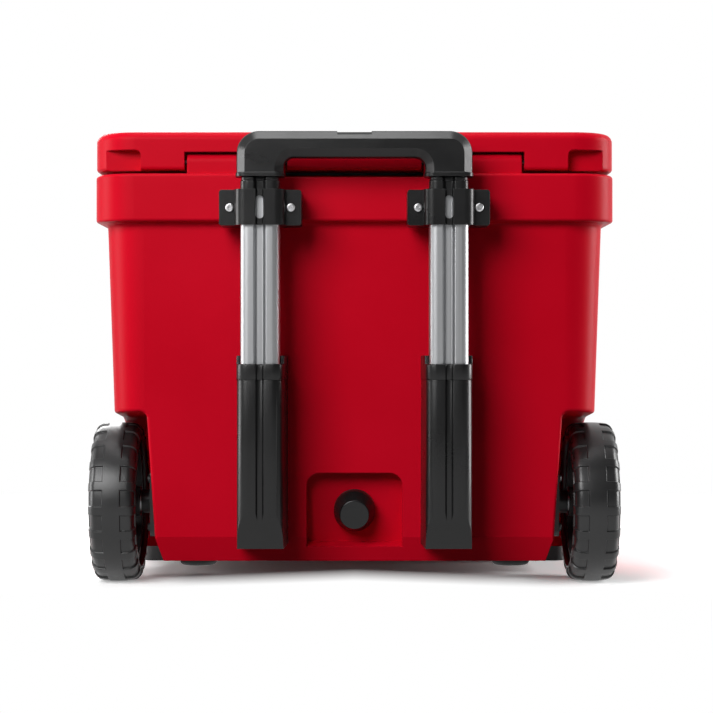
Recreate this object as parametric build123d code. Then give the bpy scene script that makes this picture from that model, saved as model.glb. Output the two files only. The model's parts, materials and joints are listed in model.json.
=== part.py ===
from build123d import *
import math
import os

# Driving dimensions in millimetres: X across, -Y the handle side, +Z up, floor at Z = 0

# Insulated body
rim_width = 571
rim_depth = 440
rim_corner = 46
rim_edge = 3
rim_top_edge = 3.5
rim_cove = 6
rim_base_z = 402
rim_top_z = 454
rim_relief = 4.5
rim_overhang = 11.5
body_corner = 44
body_draft = 2
body_base_z = 30
body_bend_z = 57
bend_inset = 9
well_edge = 3.5
well_corner = 8
shell_wall = 5
foam_gap = 0.3

# Storage compartment
cavity_side_wall = 67.5
cavity_end_wall = 57
cavity_corner = 40
cavity_floor_z = 75
cavity_draft = 3.3
cavity_floor_edge = 16

# Wheels and stub axles
wheel_radius = 90
wheel_width = 52
wheel_proud = 8
axle_setback = 110
well_gap = 6
well_rise = 5.3
core_gap = 20.2
core_draft = 3.6
tread_depth = 1.8
tread_count = 20
tread_length = 18
tread_band = 19
tread_reach = 15
shoulder = 9
hub_radius = 70
hub_ring = 8
hub_width = 40
hub_boss_radius = 17
hub_boss_out = 14
spoke_count = 6
spoke_width = 15
spoke_thick = 12
spindle_radius = 6
bush_wall = 3
running_gap = 0.05
end_gap = 0.3
washer_radius = 11
washer_thick = 1.5
clip_thick = 1.2
clip_depth = 1.2
clip_radius = 9
spacer_radius = 13
axle_plate = 74
axle_plate_thick = 6
axle_bolt_pitch = 54
cap_wall = 2

# Lid
lid_setback = 5
lid_gap = 4
lid_height = 42
lid_edge = 9
lid_lower_edge = 4
lid_wall = 5
plug_drop = 12
plug_gap = 4
gasket_width = 10
gasket_gap = 0.3
notch_inner_x = 232.6
notch_outer_x = 276
notch_height = 22
notch_depth = 13
notch_corner = 6

# Lid hinge
hinge_inset = 15
hinge_rise = 13
boss_inner_x = 75.5
boss_outer_x = 182.5
boss_radius = 9
boss_edge = 1.5
boss_swing_gap = 5.4
boss_side_gap = 2.5
rod_radius = 3
rod_reach = 15

# Latches
latch_x = 150
latch_width = 44
latch_thick = 8
latch_drop = 58
latch_tip = 2.6
latch_eye = 6
latch_release = 8
latch_pin_radius = 2.5
latch_screw_pitch = 32
pivot_rise = 14
keeper_thick = 2
keeper_width = 52
keeper_top_z = 436
keeper_height = 26
keeper_screw_drop = 19
lip_height = 5
lip_reach = 4.5
hook_height = 6
hook_gap = 0.6
latch_face_gap = 1.5
ear_thick = 6
ear_gap = 0.4
bracket_thick = 3
bracket_below = 8
bracket_above = 15
bracket_edge = 1

# Telescopic handle
handle_gap = 24
tube_width = 42
tube_depth = 26
tube_corner = 8.5
groove_mouth = 13
groove_floor = 7
groove_depth = 4.5
outer_wall = 1.6
slide_wall = 1.4
tube_clear = 0.4
glide_clear = 0.2
outer_tube_base_z = 92
outer_tube_top_z = 434.8
bush_height = 7.2
mid_bush_height = 3.7
stage_step = 5
grip_width = 251
grip_leg_width = 50
grip_depth = 30
grip_bar_height = 28.2
grip_top_z = 494.9
grip_outer_corner = 24
grip_inner_corner = 11
grip_edge = 9
grip_collar_height = 4.5
grip_collar_proud = 1
inner_tube_socket = 23.7
grip_screw_inset = 13
button_width = 36
button_depth = 14
button_recess = 1.2
button_gap = 0.3
button_travel = 4
yoke_height = 6
yoke_depth = 10
yoke_end = 1
spring_height = 9
spring_radius = 4
spring_pitch = 60
push_rod_radius = 2.5
lock_block_height = 14
lock_pin_radius = 3
lock_pin_inset = 1

# Tube clamps
clamp_base_z = 394.7
clamp_height = 38.1
clamp_width = 88
clamp_saddle = 54
clamp_skin = 4
clamp_corner = 3
saddle_corner = 11
clamp_screw_pitch = 65
clamp_tab_back = 11
window_width = 9.4
window_height = 24.5

# Lower handle sleeves
sleeve_base_z = 50
sleeve_top_z = 256
sleeve_lip_z = 247
sleeve_seam_z = 230
sleeve_lobe_z = 90
sleeve_face = 48
sleeve_flare = 5
sleeve_skin = 4
sleeve_side = 4
sleeve_edge = 12
sleeve_groove = 10
sleeve_groove_depth = 3
sleeve_ramp = 14
collar_proud = 0.5
tube_fit = 0.1

# Drain
drain_z = 86
drain_tilt = 9
recess_width = 105
recess_depth = 22
recess_top_z = 130
recess_floor_z = 50
recess_corner = 14
bushing_bore = 11
bushing_wall = 3.5
bushing_flange = 3
seal_thick = 2
plug_radius = 22.8
plug_face_radius = 15.7
plug_length = 22
plug_skirt = 6
stem_gap = 0.3
stem_length = 24
fit_gap = 0.1
drain_length = 62

# Feet
foot_inner_x = 212
foot_outer_x = 264
foot_depth = 64
foot_corner = 12
foot_back = 12
pad_radius = 20.5
pad_height = 8
pad_x = 175
pad_inset = 52

# Fasteners
screw_head_radius = 4.6
screw_head_height = 3
screw_radius = 2.5
screw_key = 2
screw_bite = 9

# Reach of a cutting tool past the face that it opens
cut_over = 1

# Places worked out from the dimensions above
body_width = rim_width - 2 * rim_overhang
body_depth = rim_depth - 2 * rim_overhang
cavity_width = rim_width - 2 * cavity_side_wall
cavity_depth = rim_depth - 2 * cavity_end_wall
wheel_track = rim_width + 2 * wheel_proud - wheel_width
core_half = wheel_track / 2 - wheel_width / 2 - core_gap
lid_bottom_z = rim_top_z + lid_gap
lid_top_z = lid_bottom_z + lid_height
tube_pitch = grip_width - grip_leg_width
tube_x = tube_pitch / 2
latch_inner = lip_reach + keeper_thick + latch_face_gap
release = math.radians(latch_release)
pivot_out = latch_inner + latch_thick / 2
tip_out = (latch_thick / 2 - latch_tip) * math.cos(release) + (latch_drop - latch_tip) * math.sin(release)
front_reach = pivot_out + tip_out + latch_tip
rear_reach = handle_gap + tube_depth + sleeve_skin + collar_proud
rim_y = (rear_reach - front_reach) / 2
rim_rear = rim_y - rim_depth / 2
rim_front = rim_y + rim_depth / 2
lid_rear = rim_rear + lid_setback
lid_front = rim_front - lid_setback
lid_depth = lid_front - lid_rear
hinge_y = rim_rear + hinge_inset
hinge_z = rim_top_z + hinge_rise
swing_radius = boss_radius + boss_swing_gap
axle_y = rim_rear + axle_setback
axle_z = wheel_radius
tube_y = rim_rear - handle_gap - tube_depth / 2
handle_rear = rim_rear - rear_reach
latch_pivot_y = rim_front + pivot_out
latch_pivot_z = lid_bottom_z + pivot_rise
clear_of_all = 400


def span(x_range, y_range, z_range):
    size = [high - low for low, high in (x_range, y_range, z_range)]
    middle = [(high + low) / 2 for low, high in (x_range, y_range, z_range)]
    return Pos(*middle) * Box(*size)


def rod_x(radius, x_range, y, z):
    length = x_range[1] - x_range[0]
    return Pos((x_range[0] + x_range[1]) / 2, y, z) * Rot(0, 90, 0) * Cylinder(radius, length)


def rod_z(radius, z_range, x, y):
    length = z_range[1] - z_range[0]
    return Pos(x, y, (z_range[0] + z_range[1]) / 2) * Cylinder(radius, length)


def other_side(shape):
    return mirror(shape, about=Plane.YZ)


def both_sides(shape):
    return Compound([*shape.solids(), *other_side(shape).solids()])


def group(shapes):
    return Compound([solid for shape in shapes for solid in shape.solids()])


def slab(width, depth, corner, y, z_range):
    outline = Pos(0, y, z_range[0]) * RectangleRounded(width, depth, corner)
    return extrude(outline, z_range[1] - z_range[0])


def screw(length):
    head = Cylinder(screw_head_radius, screw_head_height, align=(Align.CENTER, Align.CENTER, Align.MIN))
    head = fillet(head.edges().group_by(Axis.Z)[-1], screw_head_height / 2)
    shank = Cylinder(screw_radius, length, align=(Align.CENTER, Align.CENTER, Align.MAX))
    key = extrude(Pos(0, 0, screw_head_height / 3) * RegularPolygon(screw_key, 6), screw_head_height)
    return head + shank - key


# Insulated body

def drafted(width, depth, corner, z_range, draft):
    start = Plane((0, rim_y, z_range[1]), x_dir=(1, 0, 0), z_dir=(0, 0, -1))
    return extrude(start * RectangleRounded(width, depth, corner), z_range[1] - z_range[0], taper=draft)


def draft_run(z):
    return (rim_base_z - z) * math.tan(math.radians(body_draft))


def wall_rear(z):
    return rim_y - body_depth / 2 + draft_run(z)


def body_block(base_z, top_z, inset):
    high = draft_run(top_z) + inset
    bend = draft_run(body_bend_z) + inset
    bend_draft = math.degrees(math.atan2(bend_inset, body_bend_z - body_base_z))
    upper = drafted(
        body_width - 2 * high, body_depth - 2 * high, body_corner - high, (body_bend_z, top_z), body_draft
    )
    lower = drafted(
        body_width - 2 * bend, body_depth - 2 * bend, body_corner - bend, (base_z, body_bend_z), bend_draft
    )
    return upper + lower


def core_reach(z):
    return core_half + (z - axle_z) * math.tan(math.radians(core_draft))


def core_block(inset):
    high_z = axle_z + clear_of_all
    bend_x = core_reach(body_bend_z) - inset
    base_x = bend_x - bend_inset
    high_x = core_reach(high_z) - inset
    right = [(base_x, body_base_z), (bend_x, body_bend_z), (high_x, high_z)]
    left = [(-x, z) for x, z in reversed(right)]
    outline = Plane.XZ * make_face(Polyline(*right, *left, close=True))
    return extrude(outline, 2 * clear_of_all, both=True)


def wheel_well(inset):
    radius = wheel_radius + well_gap + inset
    reach = wheel_track / 2 + wheel_width
    rise = math.radians(well_rise)
    arch = rod_x(radius, (0, reach), axle_y, axle_z)
    crest = (axle_y + radius * math.sin(rise), axle_z + radius * math.cos(rise))
    far = (crest[0] - clear_of_all * math.cos(rise), crest[1] + clear_of_all * math.sin(rise))
    behind = Polyline(crest, far, (far[0], -radius), (crest[0], -radius), close=True)
    behind = extrude(Plane.YZ * make_face(behind), reach)
    below = span((0, reach), (axle_y, axle_y + radius), (-radius, axle_z))
    return arch + behind + below - core_block(inset)


def beside_core(point):
    near = abs(point.X - core_reach(point.Z)) < foam_gap
    return near and point.Z > body_bend_z and point.Y > -clear_of_all


def cavity(inset):
    mouth_z = rim_top_z + lid_gap / 2
    spread = inset + lid_gap / 2 * math.tan(math.radians(cavity_draft))
    block = drafted(
        cavity_width + 2 * spread, cavity_depth + 2 * spread, cavity_corner + spread,
        (cavity_floor_z - inset, mouth_z), cavity_draft,
    )
    return fillet(block.edges().group_by(Axis.Z)[0], cavity_floor_edge + inset)


drain_back_y = wall_rear(drain_z) + recess_depth
tilt = math.radians(drain_tilt)
drain_plane = Plane(
    origin=(0, drain_back_y, drain_z), x_dir=(1, 0, 0), z_dir=(0, -math.cos(tilt), -math.sin(tilt))
)


def drain_recess(inset):
    top = (recess_top_z - drain_z) / math.cos(tilt) + inset
    bottom = (recess_floor_z - drain_z) / math.cos(tilt) - inset
    outline = Pos(0, (top + bottom) / 2) * Rectangle(recess_width + 2 * inset, top - bottom)
    outline = fillet(outline.vertices().group_by(Axis.Y)[-1], recess_corner + inset)
    return extrude(drain_plane * Pos(0, 0, -inset) * outline, recess_depth * 4)


def drain_hole(radius):
    hole = Cylinder(radius, drain_length, align=(Align.CENTER, Align.CENTER, Align.MAX))
    return drain_plane * hole


def hollow(inset):
    space = body_block(body_base_z + inset, rim_top_z - inset, inset) - cavity(inset)
    well = wheel_well(inset)
    return space - well - other_side(well) - drain_recess(inset)


def hinge_boss():
    barrel = rod_x(boss_radius, (boss_inner_x, boss_outer_x), hinge_y, hinge_z)
    y_range = (hinge_y - boss_radius, hinge_y + boss_radius)
    block = span((boss_inner_x, boss_outer_x), y_range, (rim_top_z - rim_edge, hinge_z))
    boss = barrel + block
    ends = boss.edges().filter_by(GeomType.CIRCLE)
    return fillet(ends, boss_edge)


def under_rim(edge):
    level = all(abs(vertex.Z - rim_base_z) < foam_gap for vertex in edge.vertices())
    box = edge.bounding_box()
    return level and max(abs(box.min.X), abs(box.max.X)) < body_width / 2 + foam_gap


def make_body():
    well = wheel_well(0)
    well = fillet([edge for edge in well.edges() if beside_core(edge.center())], well_corner)
    wells = [well, other_side(well)]
    block = body_block(body_base_z, rim_top_z - rim_edge, 0)
    shape = block - wells
    arches = new_edges(block, *wells, combined=shape)
    shape = fillet([edge for edge in arches if edge.center().Z > body_bend_z], well_edge)
    rim = slab(rim_width, rim_depth, rim_corner, rim_y, (rim_base_z, rim_top_z))
    rim = fillet(rim.edges().group_by(Axis.Z)[-1], rim_top_edge)
    rim = fillet(rim.edges().group_by(Axis.Z)[0], rim_edge)
    relief_y = (rim_rear - rim_edge, hinge_y + swing_radius)
    rim -= span((-boss_inner_x, boss_inner_x), relief_y, (rim_top_z - rim_relief, rim_top_z + rim_edge))
    shape = shape + rim
    shape = fillet([edge for edge in shape.edges() if under_rim(edge)], rim_cove)
    shape = shape + hinge_boss() + other_side(hinge_boss())
    shape = shape - cavity(0) - drain_recess(0)
    return shape


body_outer = make_body()
bore = rod_x(rod_radius, (boss_inner_x - cut_over, boss_outer_x + cut_over), hinge_y, hinge_z)
drain_bore = drain_hole(bushing_bore + bushing_wall)
body_shell = body_outer - hollow(shell_wall) - bore - other_side(bore) - drain_bore
body_foam = hollow(shell_wall + foam_gap) - drain_hole(bushing_bore + bushing_wall)
parts = {"body_shell": body_shell, "body_foam": body_foam}


# Lid

def lid_cutout():
    x_range = (boss_inner_x - boss_side_gap, boss_outer_x + boss_side_gap)
    swing = rod_x(swing_radius, x_range, hinge_y, hinge_z)
    y_range = (lid_rear - swing_radius, hinge_y + swing_radius)
    return swing + span(x_range, y_range, (lid_bottom_z - swing_radius, hinge_z))


def lid_notch():
    width = notch_outer_x - notch_inner_x
    height = notch_height + lid_gap
    outline = Rectangle(width, 2 * height)
    outline = fillet(outline.vertices().group_by(Axis.Y)[-1], notch_corner)
    middle_x = (notch_inner_x + notch_outer_x) / 2
    start = Plane.XZ.offset(-lid_rear - notch_depth) * Pos(middle_x, lid_bottom_z + notch_height - height)
    return extrude(start * outline, 2 * notch_depth)


def plug_block(inset, drop):
    width = cavity_width - 2 * plug_gap - 2 * inset
    depth = cavity_depth - 2 * plug_gap - 2 * inset
    z_range = (rim_top_z - drop, lid_top_z - lid_edge)
    return slab(width, depth, cavity_corner - plug_gap - inset, rim_y, z_range)


def lid_hollow(inset):
    rear = hinge_y + swing_radius + inset
    front = lid_front - lid_edge - inset
    width = rim_width - 2 * lid_edge - 2 * inset
    z_range = (lid_bottom_z + inset, lid_top_z - inset)
    upper = slab(width, front - rear, rim_corner - lid_edge - inset, (front + rear) / 2, z_range)
    return upper + plug_block(inset, plug_drop - inset)


def make_lid():
    z_range = (lid_bottom_z, lid_top_z)
    shape = slab(rim_width, lid_depth, rim_corner, (lid_front + lid_rear) / 2, z_range)
    shape = fillet(shape.edges().group_by(Axis.Z)[-1], lid_edge)
    shape = fillet(shape.edges().group_by(Axis.Z)[0], lid_lower_edge)
    shape = shape - lid_notch() - other_side(lid_notch()) - lid_cutout() - other_side(lid_cutout())
    return shape + plug_block(0, plug_drop)


rod_x_range = (boss_inner_x - rod_reach, boss_outer_x + rod_reach)
lid_bore_x = (rod_x_range[0] - end_gap, rod_x_range[1] + end_gap)
lid_bore = rod_x(rod_radius + running_gap, lid_bore_x, hinge_y, hinge_z)
parts["lid_shell"] = make_lid() - lid_hollow(lid_wall) - lid_bore - other_side(lid_bore)
parts["lid_foam"] = lid_hollow(lid_wall + foam_gap)
gasket_inner = (cavity_width + gasket_width, cavity_depth + gasket_width, cavity_corner + gasket_width / 2)
gasket_outer = [size + 2 * gasket_width for size in gasket_inner[:2]] + [gasket_inner[2] + gasket_width]
gasket_z = (rim_top_z + gasket_gap, lid_bottom_z)
parts["lid_gasket"] = slab(*gasket_outer, rim_y, gasket_z) - slab(*gasket_inner, rim_y, gasket_z)

hinge_rod = rod_x(rod_radius, rod_x_range, hinge_y, hinge_z)
parts["hinge_rod_right"] = hinge_rod
parts["hinge_rod_left"] = other_side(hinge_rod)


# Latches: drawn hooked at the middle, then turned to the released place they rest in

ear_x = latch_width / 2 + ear_gap
pin_half = ear_x + ear_thick
latch_face_y = rim_front + latch_inner
latch_base_z = latch_pivot_z - latch_drop
lip_base_z = keeper_top_z - lip_height


def make_keeper():
    half = keeper_width / 2
    plate_y = (rim_front, rim_front + keeper_thick)
    plate = span((-half, half), plate_y, (keeper_top_z - keeper_height, keeper_top_z))
    lip_y = (rim_front, rim_front + keeper_thick + lip_reach)
    lip = span((-half, half), lip_y, (lip_base_z, keeper_top_z))
    return plate + lip


def make_latch():
    half = latch_width / 2
    lever_y = (latch_face_y, latch_face_y + latch_thick)
    lever = span((-half, half), lever_y, (latch_base_z, latch_pivot_z))
    lever = fillet(lever.edges().filter_by(Axis.X).group_by(Axis.Z)[0], latch_tip)
    hook_z = lip_base_z - hook_gap
    hook_y = (rim_front + keeper_thick + hook_gap, latch_face_y + latch_thick / 2)
    hook = span((-half, half), hook_y, (hook_z - hook_height, hook_z))
    eye = rod_x(latch_eye, (-half, half), latch_pivot_y, latch_pivot_z)
    hole = rod_x(latch_pin_radius + running_gap, (-half, half), latch_pivot_y, latch_pivot_z)
    return lever + hook + eye - hole


def make_bracket():
    plate_z = (latch_pivot_z - bracket_below, latch_pivot_z + bracket_above)
    plate = span((-pin_half, pin_half), (lid_front, lid_front + bracket_thick), plate_z)
    ear_y = (lid_front, latch_pivot_y)
    ear_z = (latch_pivot_z - latch_eye, latch_pivot_z + latch_eye)
    for side in (-1, 1):
        ear_range = sorted((side * ear_x, side * pin_half))
        plate += span(ear_range, ear_y, ear_z) + rod_x(latch_eye, ear_range, latch_pivot_y, latch_pivot_z)
    return plate - rod_x(latch_pin_radius, (-pin_half, pin_half), latch_pivot_y, latch_pivot_z)


def facing_front(x, y, z):
    return Pos(x, y, z) * Rot(-90, 0, 0)


def facing_rear(x, y, z):
    return Pos(x, y, z) * Rot(90, 0, 0)


def facing_right(x, y, z):
    return Pos(x, y, z) * Rot(0, 90, 0)


def screw_hole(length):
    return Cylinder(screw_radius, length, align=(Align.CENTER, Align.CENTER, Align.MAX))


pivot = Pos(0, latch_pivot_y, latch_pivot_z)
latch = pivot * Rot(latch_release, 0, 0) * pivot.inverse() * make_latch()
keeper_screw_z = keeper_top_z - keeper_screw_drop
bracket_screw_z = latch_pivot_z + bracket_above - screw_head_radius - bracket_edge
latch_screw_x = [place + step * latch_screw_pitch / 2 for place in (-latch_x, latch_x) for step in (-1, 1)]
keeper_seats = []
bracket_seats = []
for x in latch_screw_x:
    keeper_seats.append(facing_front(x, rim_front + keeper_thick, keeper_screw_z))
    bracket_seats.append(facing_front(x, lid_front + bracket_thick, bracket_screw_z))
keepers = Compound([Pos(side * latch_x, 0, 0) * make_keeper() for side in (-1, 1)])
brackets = Compound([Pos(side * latch_x, 0, 0) * make_bracket() for side in (-1, 1)])
pin = rod_x(latch_pin_radius, (-pin_half, pin_half), latch_pivot_y, latch_pivot_z)
parts["latch_left"] = Pos(-latch_x, 0, 0) * latch
parts["latch_right"] = Pos(latch_x, 0, 0) * latch
parts["latch_pins"] = Compound([Pos(side * latch_x, 0, 0) * pin for side in (-1, 1)])
parts["latch_keepers"] = keepers - [seat * screw_hole(screw_bite) for seat in keeper_seats]
parts["latch_brackets"] = brackets - [seat * screw_hole(screw_bite) for seat in bracket_seats]
parts["keeper_screws"] = group([seat * screw(screw_bite) for seat in keeper_seats])
parts["bracket_screws"] = group([seat * screw(screw_bite) for seat in bracket_seats])
parts["body_shell"] -= [seat * screw_hole(screw_bite) for seat in keeper_seats]
parts["lid_shell"] -= [seat * screw_hole(screw_bite) for seat in bracket_seats]


# Telescopic handle: three nested two-lobed tubes on each side

def tube_section(inset):
    slope = math.atan2((groove_mouth - groove_floor) / 2, groove_depth)
    widen = inset * (1 / math.cos(slope) - math.tan(slope))
    outline = RectangleRounded(tube_width - 2 * inset, tube_depth - 2 * inset, tube_corner - inset)
    front = -tube_depth / 2 + inset
    mouth = groove_mouth / 2 + widen
    floor = groove_floor / 2 + widen
    rise = mouth + (mouth - floor)
    groove = Polyline(
        (-rise, front - groove_depth), (rise, front - groove_depth),
        (floor, front + groove_depth), (-floor, front + groove_depth), close=True,
    )
    return Pos(tube_x, tube_y) * (outline - make_face(groove))


def tube(outside, inside, z_range):
    ring = tube_section(outside) - tube_section(inside)
    return extrude(Pos(0, 0, z_range[0]) * ring, z_range[1] - z_range[0])


def tube_bar(inset, z_range):
    return extrude(Pos(0, 0, z_range[0]) * tube_section(inset), z_range[1] - z_range[0])


mid_outside = outer_wall + tube_clear
mid_inside = mid_outside + slide_wall
inner_outside = mid_inside + tube_clear
inner_inside = inner_outside + slide_wall
outer_bush_top = outer_tube_top_z + bush_height
mid_tube_top = outer_bush_top + end_gap
mid_bush_top = mid_tube_top + mid_bush_height
grip_base_z = mid_bush_top + end_gap
inner_tube_top = grip_base_z + inner_tube_socket
mid_tube_base = outer_tube_base_z + stage_step
inner_tube_base = mid_tube_base + stage_step
outer_tube = tube(0, outer_wall, (outer_tube_base_z, outer_tube_top_z))
outer_bush = tube(0, mid_outside - glide_clear, (outer_tube_top_z, outer_bush_top))
mid_tube = tube(mid_outside, mid_inside, (mid_tube_base, mid_tube_top))
mid_bush = tube(outer_wall / 2, inner_outside - glide_clear, (mid_tube_top, mid_bush_top))
mid_glide_z = (mid_tube_base - stage_step + end_gap, mid_tube_base)
mid_glide = tube(outer_wall + glide_clear, mid_inside, mid_glide_z)
inner_tube = tube(inner_outside, inner_inside, (inner_tube_base, inner_tube_top))
inner_glide_z = (inner_tube_base - stage_step + end_gap, inner_tube_base)
inner_glide = tube(mid_inside + glide_clear, inner_inside, inner_glide_z)
rod_y_place = tube_y + push_rod_radius
lock_block_z = (inner_tube_base, inner_tube_base + lock_block_height)
lock_pin_z = (lock_block_z[0] + lock_block_z[1]) / 2
lock_reach = tube_width / 2 - inner_inside - lock_pin_inset
lock_pin_x = (tube_x - lock_reach, tube_x + lock_reach)
lock_pin = rod_x(lock_pin_radius, lock_pin_x, rod_y_place, lock_pin_z)
lock_block = tube_bar(inner_inside, lock_block_z) - lock_pin
for name, shape in (
    ("outer_tube", outer_tube), ("mid_tube", mid_tube), ("inner_tube", inner_tube),
):
    parts[f"{name}_right"] = shape
    parts[f"{name}_left"] = other_side(shape)
parts["outer_bushes"] = both_sides(outer_bush)
parts["mid_bushes"] = both_sides(mid_bush)
parts["mid_glides"] = both_sides(mid_glide)
parts["inner_glides"] = both_sides(inner_glide)
parts["lock_blocks"] = both_sides(lock_block)
parts["lock_pins"] = both_sides(lock_pin)


# Grip with its release button

bar_base_z = grip_top_z - grip_bar_height
yoke_base_z = bar_base_z + grip_bar_height / 8 + spring_height
yoke_z = (yoke_base_z, yoke_base_z + yoke_height)
yoke_reach = tube_x + push_rod_radius + yoke_end
chamber_z = (yoke_base_z - spring_height, yoke_z[1] + button_gap)


def make_grip():
    z_middle = (grip_top_z + grip_base_z) / 2
    outline = Pos(0, z_middle) * Rectangle(grip_width, grip_top_z - grip_base_z)
    outline = fillet(outline.vertices().group_by(Axis.Y)[-1], grip_outer_corner)
    opening = Pos(0, (bar_base_z + grip_base_z) / 2) * Rectangle(
        grip_width - 2 * grip_leg_width, bar_base_z - grip_base_z
    )
    below = Pos(0, grip_base_z - grip_inner_corner) * Rectangle(
        grip_width - 2 * grip_leg_width, 2 * grip_inner_corner
    )
    opening = fillet(opening.vertices().group_by(Axis.Y)[-1], grip_inner_corner)
    shape = extrude(Plane.XZ.offset(-tube_y - grip_depth / 2) * (outline - opening - below), grip_depth)
    long_edges = shape.edges().group_by(Axis.Y)
    soft = [edge for edge in long_edges[0] + long_edges[-1] if edge.center().Z > grip_base_z + cut_over]
    return fillet(soft, grip_edge)


def grip_chamber():
    half = yoke_depth / 2 + button_gap
    reach = yoke_reach + yoke_end
    chamber = span((-reach, reach), (tube_y - half, tube_y + half), chamber_z)
    pocket_x = button_width / 2 + button_gap
    pocket_y = button_depth / 2 + button_gap
    open_z = grip_top_z + cut_over
    chamber += span((-pocket_x, pocket_x), (tube_y - pocket_y, tube_y + pocket_y), (yoke_z[0], open_z))
    recess_y = (tube_y - grip_depth, tube_y + grip_depth)
    chamber += span((-pocket_x, pocket_x), recess_y, (grip_top_z - button_recess, open_z))
    socket = tube_bar(inner_outside, (grip_base_z - grip_collar_height, inner_tube_top))
    socket += rod_z(push_rod_radius + button_gap, (grip_base_z, yoke_z[0]), tube_x, rod_y_place)
    return chamber + socket + other_side(socket)


def make_collar():
    width = grip_leg_width + 2 * grip_collar_proud
    depth = grip_depth + 2 * grip_collar_proud
    leg_x = (grip_width - grip_leg_width) / 2
    ring = Pos(leg_x, tube_y, grip_base_z) * RectangleRounded(width, depth, grip_edge + grip_collar_proud)
    ring = extrude(ring, grip_collar_height)
    return fillet(ring.edges().group_by(Axis.Z)[-1], grip_collar_proud)


grip = make_grip() + make_collar() + other_side(make_collar()) - grip_chamber()
grip_screw_x = grip_width / 2 - grip_screw_inset
grip_screw_z = bar_base_z + grip_bar_height / 2
head_seat = screw_head_height + button_recess
grip_seat = facing_front(grip_screw_x, tube_y + grip_depth / 2 - head_seat, grip_screw_z)
grip_screw_length = grip_depth * 2 / 3
head_room = screw_head_radius + button_gap
head_pocket = Cylinder(head_room, grip_depth, align=(Align.CENTER, Align.CENTER, Align.MIN))
screw_tool = grip_seat * (head_pocket + screw_hole(grip_screw_length))
grip = grip - screw_tool - other_side(screw_tool)
grip_side = (-grip_width, grip_width)
grip_span = (grip_base_z - grip_depth, grip_top_z + grip_depth)
parts["grip_rear_half"] = grip & span(grip_side, (tube_y - grip_depth, tube_y), grip_span)
parts["grip_front_half"] = grip & span(grip_side, (tube_y, tube_y + grip_depth), grip_span)
parts["grip_screws"] = both_sides(grip_seat * screw(grip_screw_length))
button_x = (-button_width / 2, button_width / 2)
button_y = (tube_y - button_depth / 2, tube_y + button_depth / 2)
button = span(button_x, button_y, (yoke_z[1], grip_top_z - button_recess))
parts["release_button"] = fillet(button.edges().group_by(Axis.Z)[-1], button_recess)
yoke_y = (tube_y - yoke_depth / 2, tube_y + yoke_depth / 2)
parts["release_yoke"] = span((-yoke_reach, yoke_reach), yoke_y, yoke_z)
push_rod_z = (lock_block_z[1] + button_travel + end_gap, yoke_z[0])
push_rod = rod_z(push_rod_radius, push_rod_z, tube_x, rod_y_place)
parts["push_rods"] = both_sides(push_rod)
spring_z = (chamber_z[0], yoke_z[0])
spring = rod_z(spring_radius, spring_z, spring_pitch / 2, tube_y)
spring -= rod_z(spring_radius / 2, spring_z, spring_pitch / 2, tube_y)
parts["button_springs"] = both_sides(spring)


# Clamps that hold the outer tubes to the rim

clamp_z = (clamp_base_z, clamp_base_z + clamp_height)
clamp_middle_z = (clamp_z[0] + clamp_z[1]) / 2
tab_y = tube_y - tube_depth / 2 + clamp_tab_back


def front_groove(front_y, z_range):
    half = sleeve_groove / 2
    outline = Polyline(
        (-half, front_y - cut_over), (half, front_y - cut_over), (half / 2, front_y + sleeve_groove_depth),
        (-half / 2, front_y + sleeve_groove_depth), close=True,
    )
    return extrude(Pos(tube_x, 0, z_range[0]) * make_face(outline), z_range[1] - z_range[0])


def make_clamp():
    half = clamp_saddle / 2
    saddle_y = (tube_y - tube_depth / 2 - clamp_skin, rim_rear)
    saddle = span((tube_x - half, tube_x + half), saddle_y, clamp_z)
    front = saddle.edges().filter_by(Axis.Z).group_by(Axis.Y)[0]
    saddle = fillet(front, saddle_corner) - front_groove(saddle_y[0], clamp_z)
    tabs = span((tube_x - clamp_width / 2, tube_x + clamp_width / 2), (tab_y, rim_rear), clamp_z)
    tabs = fillet(tabs.edges().filter_by(Axis.Y), clamp_corner)
    window = Pos(tube_x, clamp_middle_z) * SlotOverall(window_height, window_width, rotation=90)
    window = extrude(Plane.XZ.offset(-tube_y) * window, tube_depth)
    return saddle + tabs - tube_bar(-tube_fit, clamp_z) - window


clamp_screw_length = rim_rear - tab_y + screw_bite
clamp_seats = [
    facing_rear(tube_x + side * clamp_screw_pitch / 2, tab_y, clamp_middle_z) for side in (-1, 1)
]
clamp_holes = [seat * screw_hole(clamp_screw_length) for seat in clamp_seats]
clamp = make_clamp() - clamp_holes
parts["tube_clamp_right"] = clamp
parts["tube_clamp_left"] = other_side(clamp)
parts["clamp_screws"] = both_sides(group([seat * screw(clamp_screw_length) for seat in clamp_seats]))
parts["body_shell"] = parts["body_shell"] - clamp_holes - [other_side(hole) for hole in clamp_holes]


# Sleeves that carry the lower ends of the outer tubes

def sleeve_prism(z_range, proud):
    back_y = wall_rear(body_bend_z) + recess_depth
    front_half = sleeve_face / 2 + proud
    back_half = front_half + sleeve_flare
    front_y = handle_rear + collar_proud - proud
    outline = Polyline(
        (-front_half, front_y), (front_half, front_y), (back_half, back_y), (-back_half, back_y), close=True
    )
    outline = make_face(outline)
    outline = fillet(outline.vertices().group_by(Axis.Y)[0], sleeve_edge)
    prism = extrude(Pos(tube_x, 0, z_range[0]) * outline, z_range[1] - z_range[0])
    return prism - front_groove(front_y, z_range) - body_block(body_base_z, rim_top_z, 0)


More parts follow.
